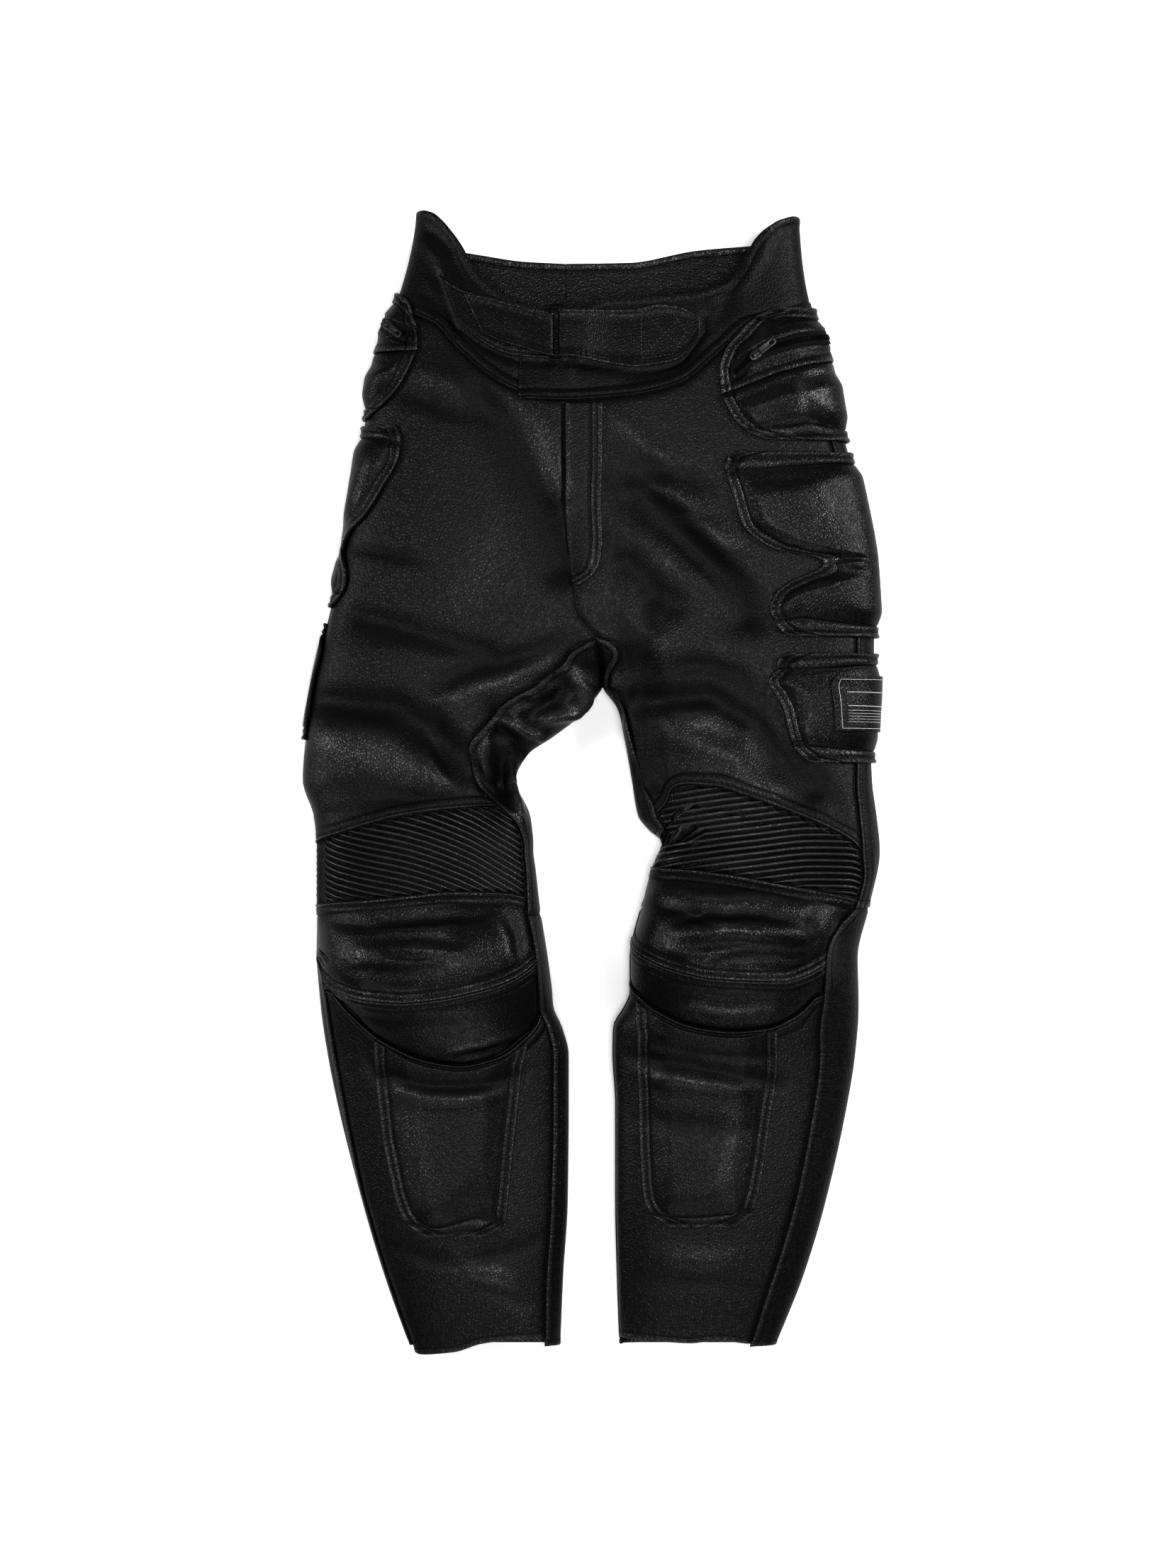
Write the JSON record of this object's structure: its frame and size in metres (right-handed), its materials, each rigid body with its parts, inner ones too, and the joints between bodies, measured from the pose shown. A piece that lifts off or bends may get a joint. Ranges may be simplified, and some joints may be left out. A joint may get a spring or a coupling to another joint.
{
  "type": "motorcycle trousers",
  "caption": "Padded black leather motorcycle trousers laid flat, with ribbed stretch panels, domed knee cups, raised shin pads, a buckled waist strap and zipped hip pockets.",
  "frame": {"origin": "under the middle of the trousers, on the surface they lie on", "axes": "+Y along the legs towards the waist, +X to the wearer’s left, +Z out of the front of the trousers"},
  "size_m": [0.5248, 1.0325, 0.0932],
  "materials": {
    "smooth_leather": "black, satin, lightly grained",
    "grained_leather": "black, satin, pebbled",
    "ribbed_leather": "black, matt, ribbed",
    "bright_metal": "nickel plated, smooth"
  },
  "bodies": {
    "trousers": {"front_thigh_right": "smooth_leather", "back_thigh_right": "smooth_leather", "gusset_right": "smooth_leather", "knee_ribs_right": "ribbed_leather", "knee_cup_upper_right": "grained_leather", "knee_cup_lower_right": "grained_leather", "shin_right": "smooth_leather", "back_calf_right": "smooth_leather", "front_thigh_left": "smooth_leather", "back_thigh_left": "smooth_leather", "gusset_left": "smooth_leather", "knee_ribs_left": "ribbed_leather", "knee_cup_upper_left": "grained_leather", "knee_cup_lower_left": "grained_leather", "shin_left": "smooth_leather", "back_calf_left": "smooth_leather", "waistband_front_right": "grained_leather", "waistband_back_right": "grained_leather", "waistband_front_left": "grained_leather", "waistband_back_left": "grained_leather", "hip_pocket_right": "grained_leather", "hip_pad_right": "grained_leather", "thigh_pad_right": "grained_leather", "lower_thigh_pad_right": "grained_leather", "shin_pad_right": "smooth_leather", "hip_pocket_left": "grained_leather", "hip_pad_left": "grained_leather", "thigh_pad_left": "grained_leather", "lower_thigh_pad_left": "grained_leather", "shin_pad_left": "smooth_leather", "fly": "smooth_leather", "thigh_patch_left": "grained_leather", "waist_strap": "grained_leather", "ring_holder": "grained_leather", "strap_ring": "bright_metal", "zip_slider_right": "bright_metal", "zip_slider_left": "bright_metal"},
    "pull_right": {"zip_pull_right": "bright_metal"},
    "pull_left": {"zip_pull_left": "bright_metal"}
  },
  "joints": [
    {"name": "zip_pull_hinge_right", "type": "hinge", "parent": "trousers", "child": "pull_right", "pos_m": [-0.18311, 0.41177, 0.05177], "axis": [-0.5484, -0.8237, -0.1438], "range_deg": [0, 150]},
    {"name": "zip_pull_hinge_left", "type": "hinge", "parent": "trousers", "child": "pull_left", "pos_m": [0.14811, 0.38271, 0.06946], "axis": [0.6243, -0.7811, -0.0133], "range_deg": [0, 150]}
  ]
}
